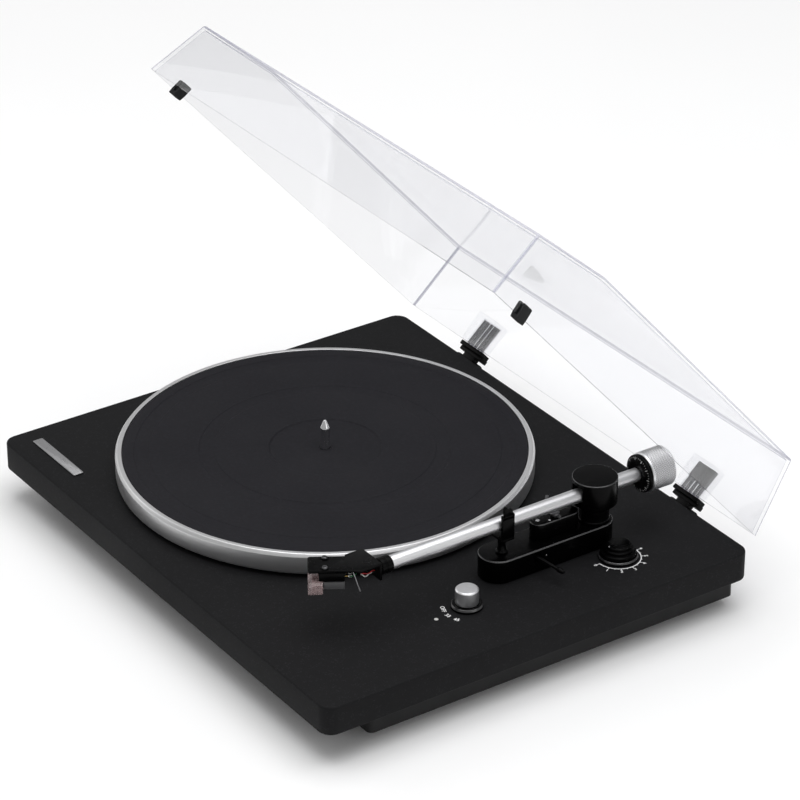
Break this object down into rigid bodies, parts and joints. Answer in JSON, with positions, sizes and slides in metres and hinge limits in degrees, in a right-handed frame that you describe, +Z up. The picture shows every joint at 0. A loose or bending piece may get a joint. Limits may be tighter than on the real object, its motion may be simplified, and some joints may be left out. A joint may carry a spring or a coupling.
{
  "type": "turntable record player",
  "caption": "Belt-driven record player: flat plinth, round platter with a ribbed mat, straight balanced tonearm on a raised base, rotary controls and a clear hinged dust cover.",
  "frame": {"origin": "middle of the bounding box in plan, on the surface the feet stand on, with the dust cover open", "axes": "+X to the player's right (tonearm side), +Y to the back (hinge side), +Z up"},
  "size_m": [0.429, 0.3964, 0.3352],
  "materials": {
    "plinth_finish": "textured matte black over dense fibreboard",
    "base_black": "matte black",
    "gloss_black": "gloss black",
    "foot_rubber": "matte",
    "mat_rubber": "matte, fine concentric lines",
    "belt_rubber": "matte",
    "platter_metal": "satin turned, bright rim",
    "satin_metal": "satin",
    "weight_metal": "fine diamond knurl",
    "polished_steel": "polished",
    "bar_metal": "polished",
    "lever_black": "painted satin black",
    "motor_metal": "plain",
    "brass_metal": "turned",
    "clear_cover": "clear cast sheet, polished edges",
    "clear_guard": "clear, slightly pink",
    "grey_plastic": "matte grey",
    "board": "green circuit board",
    "lamp_lens": "milky lens",
    "jack_red": "red",
    "jack_white": "white"
  },
  "bodies": {
    "base": {"plinth_slab": "plinth_finish", "sub_base_frame": "base_black", "bottom_panel": "base_black", "foot_front_left": "foot_rubber", "foot_front_right": "foot_rubber", "foot_rear_left": "foot_rubber", "foot_rear_right": "foot_rubber", "terminal_plate": "base_black", "phono_jack_right": "jack_red", "phono_jack_left": "jack_white", "ground_post": "brass_metal", "power_inlet": "base_black", "circuit_board": "board", "bearing_housing": "brass_metal", "drive_motor": "motor_metal", "drive_belt": "belt_rubber", "knob_skirt": "gloss_black", "speed_switch": "base_black", "status_led": "lamp_lens", "badge_plate": "satin_metal", "anti_skate_flange": "gloss_black", "arm_base": "gloss_black", "arm_pillar": "gloss_black", "arm_rest": "gloss_black", "lift_block": "gloss_black", "hinge_bracket_left": "base_black", "hinge_bracket_right": "base_black"},
    "platter": {"platter": "platter_metal", "platter_spindle": "polished_steel", "sub_platter": "base_black", "platter_mat": "mat_rubber"},
    "pulley": {"motor_pulley": "brass_metal"},
    "speed_knob": {"speed_knob": "satin_metal"},
    "anti_skate_dial": {"anti_skate_dial": "gloss_black"},
    "arm_yoke": {"arm_yoke": "gloss_black", "pivot_pin_left": "polished_steel", "pivot_pin_right": "polished_steel"},
    "tonearm": {"arm_tube": "satin_metal", "arm_collar": "gloss_black", "headshell": "base_black", "finger_lift": "polished_steel", "cartridge_body": "base_black", "stylus_unit": "grey_plastic", "shell_screw_inner": "polished_steel", "shell_screw_outer": "polished_steel"},
    "stylus_guard": {"stylus_guard": "clear_guard"},
    "weight_bush": {"weight_bush": "base_black"},
    "counterweight": {"counterweight": "weight_metal"},
    "force_dial": {"force_dial": "base_black"},
    "rest_latch": {"rest_latch": "gloss_black"},
    "lift_bar": {"lift_bar": "bar_metal"},
    "cue_lever": {"cue_lever": "lever_black"},
    "phono_switch": {"phono_switch": "grey_plastic"},
    "ground_nut": {"ground_nut": "brass_metal"},
    "dust_cover": {"cover_shell": "clear_cover", "cover_bumper_left": "foot_rubber", "cover_bumper_right": "foot_rubber", "hinge_arm_left": "base_black", "hinge_arm_right": "base_black"}
  },
  "joints": [
    {"name": "platter_spin", "type": "hinge", "parent": "base", "child": "platter", "pos_m": [-0.0467, -0.02704, 0.0565], "axis": [0, 0, 1], "continuous": true},
    {"name": "pulley_spin", "type": "hinge", "parent": "base", "child": "pulley", "pos_m": [-0.12095, 0.0472, 0.0545], "axis": [0, 0, 1], "continuous": true},
    {"name": "speed_knob_turn", "type": "hinge", "parent": "base", "child": "speed_knob", "pos_m": [0.1617, -0.05024, 0.0545], "axis": [0, 0, 1], "range_deg": [0, 52]},
    {"name": "anti_skate_turn", "type": "hinge", "parent": "base", "child": "anti_skate_dial", "pos_m": [0.1686, 0.07236, 0.0545], "axis": [0, 0, 1], "range_deg": [0, 180]},
    {"name": "arm_swing", "type": "hinge", "parent": "base", "child": "arm_yoke", "pos_m": [0.1415, 0.07125, 0.0875], "axis": [0, 0, -1], "range_deg": [0, 42]},
    {"name": "arm_tilt", "type": "hinge", "parent": "arm_yoke", "child": "tonearm", "pos_m": [0.1415, 0.07125, 0.0875], "axis": [-1, 0, 0], "range_deg": [-2.4, 8]},
    {"name": "guard_pull", "type": "slide", "parent": "tonearm", "child": "stylus_guard", "axis": [-0.5373, -0.8434, 0], "range_m": [0, 0.02]},
    {"name": "weight_slide", "type": "slide", "parent": "tonearm", "child": "weight_bush", "axis": [0, 1, 0], "range_m": [-0.0031, 0.0051]},
    {"name": "weight_turn", "type": "hinge", "parent": "weight_bush", "child": "counterweight", "pos_m": [0.1415, 0.12126, 0.0875], "axis": [0, 1, 0], "range_deg": [-540, 900]},
    {"name": "force_dial_turn", "type": "hinge", "parent": "counterweight", "child": "force_dial", "pos_m": [0.1415, 0.10976, 0.0875], "axis": [0, 1, 0], "range_deg": [-180, 180]},
    {"name": "latch_close", "type": "hinge", "parent": "base", "child": "rest_latch", "pos_m": [0.1482, -0.00724, 0.0957], "axis": [0, -1, 0], "range_deg": [0, 85]},
    {"name": "cue_lever_raise", "type": "hinge", "parent": "base", "child": "cue_lever", "pos_m": [0.1484, 0.01325, 0.059], "axis": [0, -1, 0], "range_deg": [0, 28]},
    {"name": "cue_lift", "type": "slide", "parent": "base", "child": "lift_bar", "axis": [0, 0, 1], "range_m": [0, 0.0025]},
    {"name": "cover_hinge", "type": "hinge", "parent": "base", "child": "dust_cover", "pos_m": [0, 0.15726, 0.0375], "axis": [-1, 0, 0], "range_deg": [-48.5, 11.5]},
    {"name": "phono_switch_slide", "type": "slide", "parent": "base", "child": "phono_switch", "axis": [1, 0, 0], "range_m": [0, 0.0054]},
    {"name": "ground_nut_turn", "type": "hinge", "parent": "base", "child": "ground_nut", "pos_m": [0.09, 0.14725, 0.0178], "axis": [0, 1, 0], "range_deg": [0, 1080]}
  ],
  "couplings": [
    {"joint": "pulley_spin", "follows": "platter_spin", "ratio": 10.333},
    {"joint": "weight_slide", "follows": "weight_turn", "m_per_rad": 0.000318},
    {"joint": "cue_lift", "follows": "cue_lever_raise", "m_per_rad": 0.005}
  ]
}
